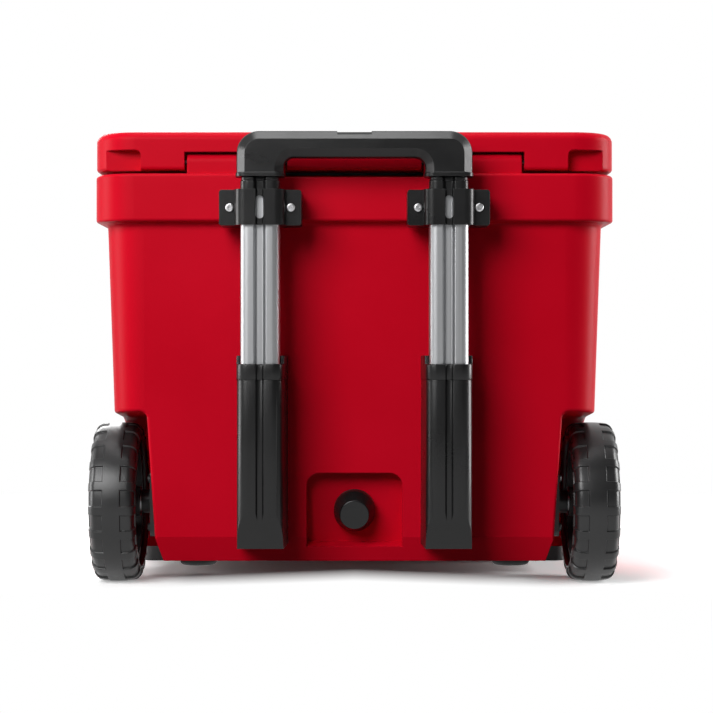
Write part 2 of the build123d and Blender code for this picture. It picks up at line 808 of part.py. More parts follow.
def make_sleeve():
    shape = sleeve_prism((sleeve_base_z, sleeve_seam_z), 0)
    ramp = Polyline(
        (handle_rear - cut_over, sleeve_lobe_z), (handle_rear, sleeve_lobe_z),
        (handle_rear + sleeve_ramp, sleeve_base_z), (handle_rear - cut_over, sleeve_base_z), close=True,
    )
    ramp = extrude(Plane.YZ * make_face(ramp), clear_of_all)
    shape = shape - ramp - tube_bar(-tube_fit, (outer_tube_base_z, sleeve_seam_z))
    pocket_half = sleeve_face / 2 - sleeve_side
    pocket_y = (tube_y + tube_depth / 2 + sleeve_side, rim_y)
    pocket_z = (outer_tube_base_z, sleeve_seam_z - sleeve_side)
    return shape - span((tube_x - pocket_half, tube_x + pocket_half), pocket_y, pocket_z)


def make_sleeve_collar():
    shape = sleeve_prism((sleeve_seam_z, sleeve_top_z), collar_proud)
    front = span((0, clear_of_all), (handle_rear - sleeve_skin, tube_y), (sleeve_lip_z, sleeve_top_z))
    return shape - front - tube_bar(-tube_fit, (sleeve_seam_z, sleeve_top_z))


for name, shape in (("handle_sleeve", make_sleeve()), ("sleeve_collar", make_sleeve_collar())):
    parts[f"{name}_right"] = shape
    parts[f"{name}_left"] = other_side(shape)


# Drain, drawn square to the tilted back of its recess

def drain_ring(outer, inner, z_range):
    ring = Circle(outer) - Circle(inner)
    return drain_plane * extrude(Pos(0, 0, z_range[0]) * ring, z_range[1] - z_range[0])


bushing_radius = bushing_bore + bushing_wall
seal_z = (bushing_flange + fit_gap, bushing_flange + seal_thick)
plug_z = seal_z[1] + fit_gap
bushing = drain_ring(bushing_radius, bushing_bore, (-drain_length, 0)) - cavity(0)
parts["drain_bushing"] = bushing + drain_ring(plug_radius, bushing_bore, (0, bushing_flange))
parts["drain_seal"] = drain_ring(plug_face_radius, bushing_bore, seal_z)
skirt = Cylinder(plug_radius, plug_skirt, align=(Align.CENTER, Align.CENTER, Align.MIN))
knob = Pos(0, 0, plug_skirt) * Cone(
    plug_radius, plug_face_radius, plug_length - plug_skirt, align=(Align.CENTER, Align.CENTER, Align.MIN)
)
knob = fillet((skirt + knob).edges().group_by(Axis.Z)[-1], plug_skirt / 3)
stem = Cylinder(bushing_bore - stem_gap, stem_length, align=(Align.CENTER, Align.CENTER, Align.MAX))
parts["drain_plug"] = drain_plane * Pos(0, 0, plug_z) * (knob + stem)


# Wheels, drawn at the middle with +X outwards and then moved to the right-hand axle

wheel_x = wheel_track / 2
wheel_place = Pos(wheel_x, axle_y, axle_z)
half_width = wheel_width / 2
boss_in = -half_width + washer_thick + 2 * end_gap
bush_radius = spindle_radius + running_gap + bush_wall


def turned(outline):
    return revolve(outline, Axis.X)


def tyre_block(inset):
    height = wheel_radius - hub_radius - inset
    outline = Pos(0, hub_radius + height / 2) * Rectangle(wheel_width - 2 * inset, height)
    return turned(fillet(outline.vertices().group_by(Axis.Y)[-1], shoulder - inset))


def make_tyre():
    pocket_x = (tread_band / 2, wheel_width)
    pocket_z = (wheel_radius - tread_reach, wheel_radius + cut_over)
    pocket = span(pocket_x, (-tread_length / 2, tread_length / 2), pocket_z)
    pocket = fillet(pocket.edges().filter_by(Axis.Z).group_by(Axis.X)[0], tread_depth)
    pockets = []
    for index in range(tread_count):
        turn = Rot(360 / tread_count * (index + 0.5), 0, 0)
        pockets += [turn * pocket, turn * other_side(pocket)]
    return tyre_block(tread_depth) + (tyre_block(0) - pockets)


def ring_x(outer, inner, x_range):
    return rod_x(outer, x_range, 0, 0) - rod_x(inner, x_range, 0, 0)


def make_hub():
    ring = ring_x(hub_radius, hub_radius - hub_ring, (-hub_width / 2, hub_width / 2))
    boss = rod_x(hub_boss_radius, (boss_in, hub_boss_out), 0, 0)
    spoke = span(
        (-spoke_thick / 2, spoke_thick / 2), (-spoke_width / 2, spoke_width / 2),
        (bush_radius, hub_radius - hub_ring / 2),
    )
    spokes = [Rot(360 / spoke_count * index, 0, 0) * spoke for index in range(spoke_count)]
    return ring + boss + spokes - rod_x(bush_radius, (boss_in, hub_boss_out), 0, 0)


def make_cap():
    cap_out = half_width - cap_wall / 2
    cap = rod_x(hub_boss_radius, (hub_boss_out, cap_out), 0, 0)
    cap = fillet(cap.edges().group_by(Axis.X)[-1], cap_wall)
    return cap - rod_x(hub_boss_radius - cap_wall, (hub_boss_out, cap_out - cap_wall), 0, 0)


washer_out = hub_boss_out + end_gap
clip_in = washer_out + washer_thick
spindle_out = clip_in + 2 * clip_thick
washer = ring_x(washer_radius, spindle_radius, (boss_in - end_gap - washer_thick, boss_in - end_gap))
outer_washer = ring_x(washer_radius, spindle_radius, (washer_out, clip_in))
groove_radius = spindle_radius - clip_depth
clip = ring_x(clip_radius, groove_radius, (clip_in, clip_in + clip_thick))


def make_axle():
    plate_x = core_reach(axle_z + axle_plate / 2) + axle_plate_thick
    half = axle_plate / 2
    plate_y = (axle_y - half, axle_y + half)
    plate = span((plate_x - 3 * axle_plate_thick, plate_x), plate_y, (axle_z - half, axle_z + half))
    plate = fillet(plate.edges().filter_by(Axis.X), axle_plate_thick) - core_block(0)
    spacer_x = (plate_x, wheel_x + boss_in - end_gap - washer_thick)
    spindle = rod_x(spindle_radius, (plate_x, wheel_x + spindle_out), axle_y, axle_z)
    spindle -= wheel_place * ring_x(spindle_radius, groove_radius, (clip_in, clip_in + clip_thick))
    axle = plate + rod_x(spacer_radius, spacer_x, axle_y, axle_z) + spindle
    offset = axle_bolt_pitch / 2
    seats = [
        facing_right(plate_x, axle_y + side * offset, axle_z + height * offset)
        for side in (-1, 1) for height in (-1, 1)
    ]
    return axle, seats


axle, bolt_seats = make_axle()
bolt_length = axle_plate_thick + shell_wall
bolt_holes = [seat * screw_hole(bolt_length) for seat in bolt_seats]
axle = axle - bolt_holes
parts["body_shell"] = parts["body_shell"] - bolt_holes - [other_side(hole) for hole in bolt_holes]
parts["axle_right"] = axle
parts["axle_left"] = other_side(axle)
parts["axle_bolts"] = both_sides(group([seat * screw(bolt_length) for seat in bolt_seats]))
parts["axle_washers"] = both_sides(group([wheel_place * washer, wheel_place * outer_washer]))
parts["axle_clips"] = both_sides(wheel_place * clip)
wheel_bush = ring_x(bush_radius, spindle_radius + running_gap, (boss_in, hub_boss_out))
for name, shape in (
    ("tyre", make_tyre()), ("wheel_hub", make_hub()), ("wheel_bush", wheel_bush), ("hub_cap", make_cap()),
):
    parts[f"{name}_right"] = wheel_place * shape
    parts[f"{name}_left"] = other_side(wheel_place * shape)


# Feet

front_base_y = rim_y + body_depth / 2 - draft_run(body_bend_z) - bend_inset
foot_y = (front_base_y - foot_back - foot_depth, front_base_y - foot_back)
foot = span((foot_inner_x, foot_outer_x), foot_y, (0, body_base_z))
foot = fillet(foot.edges().filter_by(Axis.Z), foot_corner)
foot_middle = ((foot_inner_x + foot_outer_x) / 2, (foot_y[0] + foot_y[1]) / 2)
foot_seat = Pos(*foot_middle, body_base_z / 2) * Rot(180, 0, 0)
foot_screw_length = body_base_z / 2 + shell_wall
foot_hole = foot_seat * screw_hole(foot_screw_length)
foot_pocket = Cylinder(2 * screw_head_radius, body_base_z, align=(Align.CENTER, Align.CENTER, Align.MIN))
parts["front_feet"] = both_sides(foot - foot_hole - foot_seat * foot_pocket)
parts["foot_screws"] = both_sides(foot_seat * screw(foot_screw_length))
parts["body_shell"] = parts["body_shell"] - foot_hole - other_side(foot_hole)
pad_y = wall_rear(body_bend_z) + pad_inset
pad = rod_z(pad_radius, (body_base_z - pad_height, body_base_z), pad_x, pad_y)
parts["rear_pads"] = both_sides(fillet(pad.edges().group_by(Axis.Z)[0], pad_height / 2))


# Inner liner, parted from the outer shell once all holes are cut

parts["body_liner"] = parts["body_shell"] & cavity(shell_wall)
parts["body_shell"] -= cavity(shell_wall)


if __name__ == "__main__":
    os.makedirs("parts", exist_ok=True)
    for name, shape in parts.items():
        export_step(shape, f"parts/{name}.step")
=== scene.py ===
import json
import math

import bmesh
import bpy
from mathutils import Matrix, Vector

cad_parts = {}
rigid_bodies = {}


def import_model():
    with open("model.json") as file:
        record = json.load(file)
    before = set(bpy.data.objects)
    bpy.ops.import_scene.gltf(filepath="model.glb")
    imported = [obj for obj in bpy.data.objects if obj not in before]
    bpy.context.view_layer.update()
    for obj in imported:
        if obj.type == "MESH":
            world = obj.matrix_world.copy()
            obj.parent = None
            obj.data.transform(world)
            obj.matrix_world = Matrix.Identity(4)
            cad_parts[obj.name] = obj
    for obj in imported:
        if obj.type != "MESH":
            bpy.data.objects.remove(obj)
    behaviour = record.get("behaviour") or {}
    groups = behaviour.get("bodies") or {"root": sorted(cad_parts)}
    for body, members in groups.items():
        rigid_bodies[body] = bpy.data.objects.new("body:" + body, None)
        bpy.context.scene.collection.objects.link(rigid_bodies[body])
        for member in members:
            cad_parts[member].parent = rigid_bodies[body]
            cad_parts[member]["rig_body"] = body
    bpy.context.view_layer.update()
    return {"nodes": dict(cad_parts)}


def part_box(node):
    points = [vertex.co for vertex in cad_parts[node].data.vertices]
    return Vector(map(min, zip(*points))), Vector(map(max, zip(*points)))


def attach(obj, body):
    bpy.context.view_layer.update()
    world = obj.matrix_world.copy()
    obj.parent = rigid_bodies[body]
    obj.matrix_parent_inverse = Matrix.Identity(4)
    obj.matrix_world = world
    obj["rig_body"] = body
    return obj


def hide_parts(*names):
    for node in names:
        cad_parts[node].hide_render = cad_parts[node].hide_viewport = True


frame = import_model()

scene = bpy.context.scene
nodes = frame["nodes"]
print("frame loaded:", len(nodes), "solid pieces")


# camera, floor, world and lamps

cameraSpec = {"place": (0.0022, -2.395, 0.255), "lens": 101.9, "sensor": 36.0}
cameraData = bpy.data.cameras.new("rearCamera")
cameraData.lens = cameraSpec["lens"]
cameraData.sensor_width = cameraSpec["sensor"]
camera = bpy.data.objects.new("rearCamera", cameraData)
camera.location = cameraSpec["place"]
camera.rotation_euler = (math.radians(90), 0, 0)  # level, looking along +Y
scene.collection.objects.link(camera)
scene.camera = camera
scene.view_settings.view_transform = "Standard"

world = bpy.data.worlds.new("studioWorld")
scene.world = world
world.use_nodes = True
worldTree = world.node_tree
worldNodes = worldTree.nodes
worldLinks = worldTree.links
worldNodes.clear()
worldOut = worldNodes.new("ShaderNodeOutputWorld")
worldGlow = worldNodes.new("ShaderNodeBackground")
worldGlow.inputs["Color"].default_value = (1, 1, 1, 1)
worldLinks.new(worldGlow.outputs["Background"], worldOut.inputs["Surface"])
worldSpec = {  # fill light, room behind the lens, backdrop, and how softly the last two meet
    "soft": 0.05, "room": 0.08, "white": 1.0, "turn": 0.35,
}


def mathNode(tree, operation, *values):
    step = tree.nodes.new("ShaderNodeMath")
    step.operation = operation
    for socket, value in zip(step.inputs, values):
        if isinstance(value, (int, float)):
            socket.default_value = value
        else:
            tree.links.new(value, socket)
    return step.outputs["Value"]


def rangeNode(tree, value, low, high, toLow, toHigh):
    ramp = tree.nodes.new("ShaderNodeMapRange")
    tree.links.new(value, ramp.inputs["Value"])
    ramp.inputs["From Min"].default_value = low
    ramp.inputs["From Max"].default_value = high
    for label, number in (("To Min", toLow), ("To Max", toHigh)):
        if isinstance(number, (int, float)):
            ramp.inputs[label].default_value = number
        else:
            tree.links.new(number, ramp.inputs[label])
    return ramp.outputs["Result"]


def seenRays(tree):
    path = tree.nodes.new("ShaderNodeLightPath")  # rays that show the backdrop: lens, gloss and glass
    mirrored = mathNode(tree, "MAXIMUM", path.outputs["Is Glossy Ray"], path.outputs["Is Transmission Ray"])
    return path.outputs["Is Camera Ray"], mirrored


worldLens, worldMirror = seenRays(worldTree)
worldPlace = worldNodes.new("ShaderNodeTexCoord")
worldAxes = worldNodes.new("ShaderNodeSeparateXYZ")
worldLinks.new(worldPlace.outputs["Generated"], worldAxes.inputs["Vector"])
worldBehind = rangeNode(
    worldTree, worldAxes.outputs["Y"], -worldSpec["turn"], worldSpec["turn"],
    worldSpec["room"], worldSpec["white"]
)
worldGloss = mathNode(worldTree, "MULTIPLY", worldMirror, worldBehind)
worldLevel = mathNode(worldTree, "MAXIMUM", worldGloss, worldSpec["soft"])
worldLinks.new(mathNode(worldTree, "MAXIMUM", worldLevel, worldLens), worldGlow.inputs["Strength"])

lampSpec = [
    {"name": "keyLeft", "place": (-1.04, -2.0, 1.45), "aim": (0, -0.2, 0.25),
     "size": (1.5, 1.2), "power": 56},
    {"name": "sideLeft", "place": (-2.4, -0.1, 0.6), "aim": (0, -0.1, 0.3),
     "size": (0.9, 1.4), "power": 34},
    {"name": "sideRight", "place": (2.4, 0.35, 0.7), "aim": (0, -0.1, 0.3),
     "size": (1.0, 2.0), "power": 78},
    {"name": "softTop", "place": (-0.1, -0.25, 2.2), "aim": (0, -0.2, 0.4),
     "size": (1.2, 0.8), "power": 17},
    {"name": "rimBack", "place": (-0.9, 2.2, 1.4), "aim": (0, 0, 0.3),
     "size": (1.4, 1.0), "power": 36},
]
for spec in lampSpec:
    lampData = bpy.data.lights.new(spec["name"], "AREA")
    lampData.shape = "RECTANGLE"
    lampData.size, lampData.size_y = spec["size"]
    lampData.energy = spec["power"]
    lamp = bpy.data.objects.new(spec["name"], lampData)
    lamp.location = spec["place"]
    lamp.rotation_euler = (Vector(spec["aim"]) - Vector(spec["place"])).to_track_quat("-Z", "Y").to_euler()
    scene.collection.objects.link(lamp)
print("camera and lamps set")


# shader groups that several finishes share

def newGroup(name, inputs, outputs):
    group = bpy.data.node_groups.new(name, "ShaderNodeTree")
    for label, kind, value in inputs:
        socket = group.interface.new_socket(label, in_out="INPUT", socket_type=kind)
        socket.default_value = value
    for label, kind in outputs:
        group.interface.new_socket(label, in_out="OUTPUT", socket_type=kind)
    start = group.nodes.new("NodeGroupInput")
    end = group.nodes.new("NodeGroupOutput")
    return group, start, end


def noiseNode(tree, vector, scale, detail, roughness=0.55):
    noise = tree.nodes.new("ShaderNodeTexNoise")
    noise.inputs["Detail"].default_value = detail
    noise.inputs["Roughness"].default_value = roughness
    tree.links.new(vector, noise.inputs["Vector"])
    if isinstance(scale, (int, float)):
        noise.inputs["Scale"].default_value = scale
    else:
        tree.links.new(scale, noise.inputs["Scale"])
    return noise


noiseSpread = (0.3, 0.7)  # the part of a noise that is in use

# moulded skin: fine orange peel for the bump and slow cloudy change for colour and gloss
mouldedSkin, skinIn, skinOut = newGroup(
    "mouldedSkin",
    [("Grain Scale", "NodeSocketFloat", 900.0), ("Cloud Scale", "NodeSocketFloat", 7.0),
     ("Gloss Low", "NodeSocketFloat", 0.4), ("Gloss High", "NodeSocketFloat", 0.5)],
    [("Height", "NodeSocketFloat"), ("Cloud", "NodeSocketFloat"), ("Gloss", "NodeSocketFloat")],
)
skinPlace = mouldedSkin.nodes.new("ShaderNodeTexCoord")
skinGrain = noiseNode(mouldedSkin, skinPlace.outputs["Object"], skinIn.outputs["Grain Scale"], 2.0)
skinCloud = noiseNode(mouldedSkin, skinPlace.outputs["Object"], skinIn.outputs["Cloud Scale"], 3.0)
cloudSpread = rangeNode(mouldedSkin, skinCloud.outputs["Fac"], *noiseSpread, 0.0, 1.0)
glossSpread = rangeNode(
    mouldedSkin, skinCloud.outputs["Fac"], *noiseSpread,
    skinIn.outputs["Gloss Low"], skinIn.outputs["Gloss High"]
)
mouldedSkin.links.new(skinGrain.outputs["Fac"], skinOut.inputs["Height"])
mouldedSkin.links.new(cloudSpread, skinOut.inputs["Cloud"])
mouldedSkin.links.new(glossSpread, skinOut.inputs["Gloss"])

# drawn metal: fine lines along one axis, as on extruded tube and turned steel
drawnLines, linesIn, linesOut = newGroup(
    "drawnLines",
    [("Stretch", "NodeSocketVector", (900.0, 900.0, 6.0)), ("Gloss Low", "NodeSocketFloat", 0.25),
     ("Gloss High", "NodeSocketFloat", 0.38)],
    [("Height", "NodeSocketFloat"), ("Cloud", "NodeSocketFloat"), ("Gloss", "NodeSocketFloat")],
)
linesPlace = drawnLines.nodes.new("ShaderNodeTexCoord")
linesStretch = drawnLines.nodes.new("ShaderNodeVectorMath")
linesStretch.operation = "MULTIPLY"
drawnLines.links.new(linesPlace.outputs["Object"], linesStretch.inputs[0])
drawnLines.links.new(linesIn.outputs["Stretch"], linesStretch.inputs[1])
linesNoise = noiseNode(drawnLines, linesStretch.outputs["Vector"], 1.0, 3.0)
linesSpread = rangeNode(drawnLines, linesNoise.outputs["Fac"], *noiseSpread, 0.0, 1.0)
linesGloss = rangeNode(
    drawnLines, linesNoise.outputs["Fac"], *noiseSpread,
    linesIn.outputs["Gloss Low"], linesIn.outputs["Gloss High"]
)
drawnLines.links.new(linesNoise.outputs["Fac"], linesOut.inputs["Height"])
drawnLines.links.new(linesSpread, linesOut.inputs["Cloud"])
drawnLines.links.new(linesGloss, linesOut.inputs["Gloss"])


def newFinish(spec):
    finish = bpy.data.materials.new(spec["name"])
    finish.use_nodes = True
    tree = finish.node_tree
    shader = tree.nodes["Principled BSDF"]
    effect = tree.nodes.new("ShaderNodeGroup")
    effect.node_tree = spec["group"]
    for label, value in spec["effect"].items():
        effect.inputs[label].default_value = value
    tint = tree.nodes.new("ShaderNodeMix")
    tint.data_type = "RGBA"
    tint.inputs["A"].default_value = (*spec["colourLow"], 1)
    tint.inputs["B"].default_value = (*spec["colourHigh"], 1)
    tree.links.new(effect.outputs["Cloud"], tint.inputs["Factor"])
    tree.links.new(tint.outputs["Result"], shader.inputs["Base Color"])
    tree.links.new(effect.outputs["Gloss"], shader.inputs["Roughness"])
    bump = tree.nodes.new("ShaderNodeBump")
    bump.inputs["Strength"].default_value = spec["bump"]
    bump.inputs["Distance"].default_value = spec["bumpDepth"]
    tree.links.new(effect.outputs["Height"], bump.inputs["Height"])
    if "edge" in spec:  # mould edges are never knife sharp
        edge = tree.nodes.new("ShaderNodeBevel")
        edge.samples = 4
        edge.inputs["Radius"].default_value = spec["edge"]
        tree.links.new(edge.outputs["Normal"], bump.inputs["Normal"])
    tree.links.new(bump.outputs["Normal"], shader.inputs["Normal"])
    shader.inputs["Metallic"].default_value = spec.get("metal", 0.0)
    shader.inputs["Specular IOR Level"].default_value = spec.get("specular", 0.5)
    if "coat" in spec:
        shader.inputs["Coat Weight"].default_value = spec["coat"]
        shader.inputs["Coat Roughness"].default_value = spec["coatRough"]
    return finish


finishes = {}
for spec in [
    {"name": "redShell", "group": mouldedSkin, "colourLow": (0.545, 0.0012, 0.0125),
     "colourHigh": (0.60, 0.0018, 0.0160), "bump": 0.10, "bumpDepth": 0.0006,
     "specular": 0.05, "edge": 0.0014,
     "effect": {"Grain Scale": 520.0, "Cloud Scale": 5.0, "Gloss Low": 0.36, "Gloss High": 0.44}},
    {"name": "blackHandle", "group": mouldedSkin, "colourLow": (0.0065, 0.0065, 0.0067),
     "colourHigh": (0.0100, 0.0100, 0.0103), "bump": 0.20, "bumpDepth": 0.0004,
     "specular": 0.35, "edge": 0.0008,
     "effect": {"Grain Scale": 1500.0, "Cloud Scale": 18.0, "Gloss Low": 0.26, "Gloss High": 0.34}},
    {"name": "glossPlug", "group": mouldedSkin, "colourLow": (0.0075, 0.0075, 0.0078),
     "colourHigh": (0.0120, 0.0120, 0.0125), "bump": 0.08, "bumpDepth": 0.0003, "specular": 0.3,
     "effect": {"Grain Scale": 1200.0, "Cloud Scale": 25.0, "Gloss Low": 0.20, "Gloss High": 0.28}},
    {"name": "blackHub", "group": mouldedSkin, "colourLow": (0.010, 0.010, 0.0105),
     "colourHigh": (0.018, 0.018, 0.0185), "bump": 0.15, "bumpDepth": 0.0004, "edge": 0.0008,
     "effect": {"Grain Scale": 900.0, "Cloud Scale": 14.0, "Gloss Low": 0.38, "Gloss High": 0.50}},
    {"name": "tyreSkin", "group": mouldedSkin, "colourLow": (0.012, 0.012, 0.0125),
     "colourHigh": (0.020, 0.020, 0.0205), "bump": 0.15, "bumpDepth": 0.0004, "specular": 0.5,
     "effect": {"Grain Scale": 1100.0, "Cloud Scale": 22.0, "Gloss Low": 0.32, "Gloss High": 0.38}},
    # near-black steel for the axles, axle bolts and hinge rod
    {"name": "coatedSteel", "group": mouldedSkin, "colourLow": (0.012, 0.012, 0.0125),
     "colourHigh": (0.018, 0.018, 0.0185), "bump": 0.3, "bumpDepth": 0.0003, "edge": 0.0006,
     "effect": {"Grain Scale": 700.0, "Cloud Scale": 25.0, "Gloss Low": 0.36, "Gloss High": 0.48}},
    {"name": "softRubber", "group": mouldedSkin, "colourLow": (0.013, 0.013, 0.0135),
     "colourHigh": (0.022, 0.022, 0.0225), "bump": 0.25, "bumpDepth": 0.0005, "specular": 0.4,
     "effect": {"Grain Scale": 1300.0, "Cloud Scale": 20.0, "Gloss Low": 0.50, "Gloss High": 0.62}},
    {"name": "greyGlide", "group": mouldedSkin, "colourLow": (0.020, 0.020, 0.021),
     "colourHigh": (0.030, 0.030, 0.031), "bump": 0.1, "bumpDepth": 0.0004,
     "effect": {"Grain Scale": 1300.0, "Cloud Scale": 30.0, "Gloss Low": 0.45, "Gloss High": 0.55}},
    {"name": "paleFoam", "group": mouldedSkin, "colourLow": (0.66, 0.58, 0.38),
     "colourHigh": (0.78, 0.70, 0.50), "bump": 0.6, "bumpDepth": 0.002, "specular": 0.2,
     "effect": {"Grain Scale": 260.0, "Cloud Scale": 40.0, "Gloss Low": 0.85, "Gloss High": 0.95}},
    {"name": "drawnTube", "group": drawnLines, "colourLow": (0.36, 0.365, 0.375),
     "colourHigh": (0.41, 0.415, 0.425), "bump": 0.03, "bumpDepth": 0.0002, "metal": 1.0,
     "effect": {"Stretch": (500.0, 500.0, 2.0), "Gloss Low": 0.38, "Gloss High": 0.44}},
    {"name": "brightScrew", "group": drawnLines, "colourLow": (0.60, 0.60, 0.61),
     "colourHigh": (0.74, 0.74, 0.75), "bump": 0.08, "bumpDepth": 0.0003, "metal": 1.0,
     "effect": {"Stretch": (700.0, 60.0, 700.0), "Gloss Low": 0.26, "Gloss High": 0.36}},
    {"name": "brushedPlate", "group": drawnLines, "colourLow": (0.48, 0.48, 0.49),
     "colourHigh": (0.58, 0.58, 0.59), "bump": 0.08, "bumpDepth": 0.0003, "metal": 1.0,
     "effect": {"Stretch": (8.0, 700.0, 700.0), "Gloss Low": 0.30, "Gloss High": 0.42}},
]:
    finishes[spec["name"]] = newFinish(spec)
print("finishes made:", len(finishes))

# which finish each solid piece wears
finishWords = [
    ("redShell", ["body_shell", "body_liner", "lid_shell"]),
    ("glossPlug", ["drain_plug"]),
    ("paleFoam", ["foam"]),
    ("drawnTube", ["_tube_"]),
    ("greyGlide", ["glide", "lock_blocks", "wheel_bush", "release_yoke"]),
    ("brightScrew", ["screws", "lock_pins", "push_rods", "springs", "washers", "clips", "latch_pins"]),
    ("coatedSteel", ["axle_left", "axle_right", "axle_bolts", "hinge_rod"]),
    ("brushedPlate", ["latch_keepers", "latch_brackets"]),
    ("softRubber", ["gasket", "seal", "pads", "feet", "latch_left", "latch_right"]),
    ("tyreSkin", ["tyre"]),
    ("blackHub", ["wheel_hub", "hub_cap"]),
]


def finishFor(name):
    for finish, words in finishWords:
        if any(word in name for word in words):
            return finishes[finish]
    return finishes["blackHandle"]


for name, piece in nodes.items():
    piece.data.materials.clear()
    piece.data.materials.append(finishFor(name))
print("solid pieces dressed")


weldGap = {"made": 1e-6, "copied": 2e-6}  # vertices closer than this are one
smoothTurn = math.radians(35)  # sharper joints stay as edges


def finishPiece(name, bm, finish, evenFlats=True):
    bmesh.ops.remove_doubles(bm, verts=bm.verts, dist=weldGap["made"])
    bmesh.ops.recalc_face_normals(bm, faces=bm.faces)
    mesh = bpy.data.meshes.new(name)
    bm.to_mesh(mesh)
    bm.free()
    mesh.materials.append(finish)
    for face in mesh.polygons:
        face.use_smooth = True
    mesh.set_sharp_from_angle(angle=smoothTurn)
    piece = bpy.data.objects.new(name, mesh)
    scene.collection.objects.link(piece)
    if evenFlats:  # large flats stay flat beside round edges
        even = piece.modifiers.new("evenShading", "WEIGHTED_NORMAL")
        even.keep_sharp = True
    return piece


# soft copies: the moulded and cast pieces again with rounded edges

softEdges = {  # edge radius in metres
    "tube_clamp_left": 0.0010, "tube_clamp_right": 0.0010,
    "handle_sleeve_left": 0.0014, "handle_sleeve_right": 0.0014,
    "sleeve_collar_left": 0.0009, "sleeve_collar_right": 0.0009,
    "latch_left": 0.0016, "latch_right": 0.0016, "latch_brackets": 0.0008, "latch_keepers": 0.0006,
    "front_feet": 0.0030, "rear_pads": 0.0015, "release_button": 0.0005, "clamp_screws": 0.0004,
    "wheel_hub_left": 0.0012, "wheel_hub_right": 0.0012, "hub_cap_left": 0.0008, "hub_cap_right": 0.0008,
    "drain_plug": 0.0010, "drain_bushing": 0.0006, "outer_bushes": 0.0007, "mid_bushes": 0.0006,
    "outer_tube_left": 0.0011, "outer_tube_right": 0.0011,
}
softTurn = math.radians(32)  # flatter joints stay as they are
flatTurn = math.radians(0.6)  # facets of one flat, joined before the edges are rounded
tubeEnd = {"solid": 0.4348, "seen": 0.4322, "near": 0.0012}  # the bush is seen down to the clamp


def copyOf(name):
    bm = bmesh.new()
    bm.from_mesh(nodes[name].data)
    bmesh.ops.remove_doubles(bm, verts=bm.verts, dist=weldGap["copied"])
    return bm


def standFor(name, bm):
    piece = finishPiece("soft_" + name, bm, finishFor(name), evenFlats="sleeve" not in name)
    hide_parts(name)
    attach(piece, nodes[name]["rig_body"])


def softCopy(name, radius):
    bm = copyOf(name)
    bmesh.ops.dissolve_limit(bm, angle_limit=flatTurn, verts=bm.verts, edges=bm.edges)
    sharp = [e for e in bm.edges if e.is_manifold and e.calc_face_angle() > softTurn]
    bmesh.ops.bevel(
        bm, geom=sharp, offset=radius, segments=3, profile=0.5, affect="EDGES",
        material=-1, clamp_overlap=True
    )
    if name.startswith("outer_"):
        for vert in bm.verts:
            if abs(vert.co.z - tubeEnd["solid"]) < tubeEnd["near"]:
                vert.co.z += tubeEnd["seen"] - tubeEnd["solid"]
    standFor(name, bm)


for name, radius in softEdges.items():
    softCopy(name, radius)
print("soft copies made:", len(softEdges))


# grip: its long edges are chamfers, not rounds, so that they catch the lamps as broad bands

gripSpec = {
    "half": 0.1255, "top": 0.4949, "corner": 0.024, "opening": 0.0755, "bar": 0.4667, "openCorner": 0.011,
    "edge": 0.009, "depth": 0.030, "collarTop": 0.4507,
}


def nearer(way):
    return way[0]


def gripInset(x, z):  # how far inside the grip's outline, and which way is inward
    spec = gripSpec
    outX, outZ = spec["half"] - spec["corner"], spec["top"] - spec["corner"]
    inX, inZ = spec["opening"] - spec["openCorner"], spec["bar"] - spec["openCorner"]
    if x > outX and z > outZ:
        away = Vector((x - outX, z - outZ))
        outer = (spec["corner"] - away.length, -away.normalized())
    else:
        sideways = (spec["half"] - x, Vector((-1, 0)))
        down = (spec["top"] - z, Vector((0, -1)))
        outer = min(sideways, down, key=nearer)
    if x > inX and z > inZ:
        away = Vector((x - inX, z - inZ))
        inner = (away.length - spec["openCorner"], away.normalized())
    elif x > inX:
        inner = (x - spec["opening"], Vector((1, 0)))
    else:
        inner = (z - spec["bar"], Vector((0, 1)))
    return min(outer, inner, key=nearer)


def flatGrip(name):
    bm = copyOf(name)
    edge = gripSpec["edge"]
    low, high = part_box("outer_tube_left")
    middle = (low[1] + high[1]) / 2
    for vert in bm.verts:
        depth = gripSpec["depth"] / 2 - abs(vert.co.y - middle)
        if vert.co.z < gripSpec["collarTop"] or not 0 < depth < edge:
            continue
        wanted = edge - depth
        inset, inward = gripInset(abs(vert.co.x), vert.co.z)
        if inset < wanted:
            vert.co.x += math.copysign(inward.x * (wanted - inset), vert.co.x * inward.x)
            vert.co.z += inward.y * (wanted - inset)
    standFor(name, bm)


for name in ("grip_rear_half", "grip_front_half"):
    flatGrip(name)
print("grip made")


# tyres: a crowned carcass with two rows of square pockets cut over its shoulders

tyreSpec = {
    "crown": 0.0900, "crownDrop": 0.0021, "half": 0.026, "shoulder": 0.009,
    "ridge": (0.0012, 0.0040, 0.0068), "crownSteps": 4, "shoulderSteps": 8,
    "bead": ((0, 0.0735), (0.0015, 0.0718), (0.0045, 0.0700)),  # inset from the side, radius
    "pockets": 20, "pocketSteps": 8, "gapSteps": 4,  # steps of the spin for one pocket and one lug
    "band": 0.0095, "reach": 0.0750, "deep": 0.0018, "wall": 0.0007, "edge": 0.0003, "lipTurn": 40,
}


def tyreRadius(x):
    half, shoulder = tyreSpec["half"], tyreSpec["shoulder"]
    radius = tyreSpec["crown"] - tyreSpec["crownDrop"] * (x / half) ** 2
    past = abs(x) - (half - shoulder)
    if past > 0:
        past = min(past, shoulder)
        radius -= shoulder - math.sqrt(max(shoulder ** 2 - past ** 2, 0))
    return radius


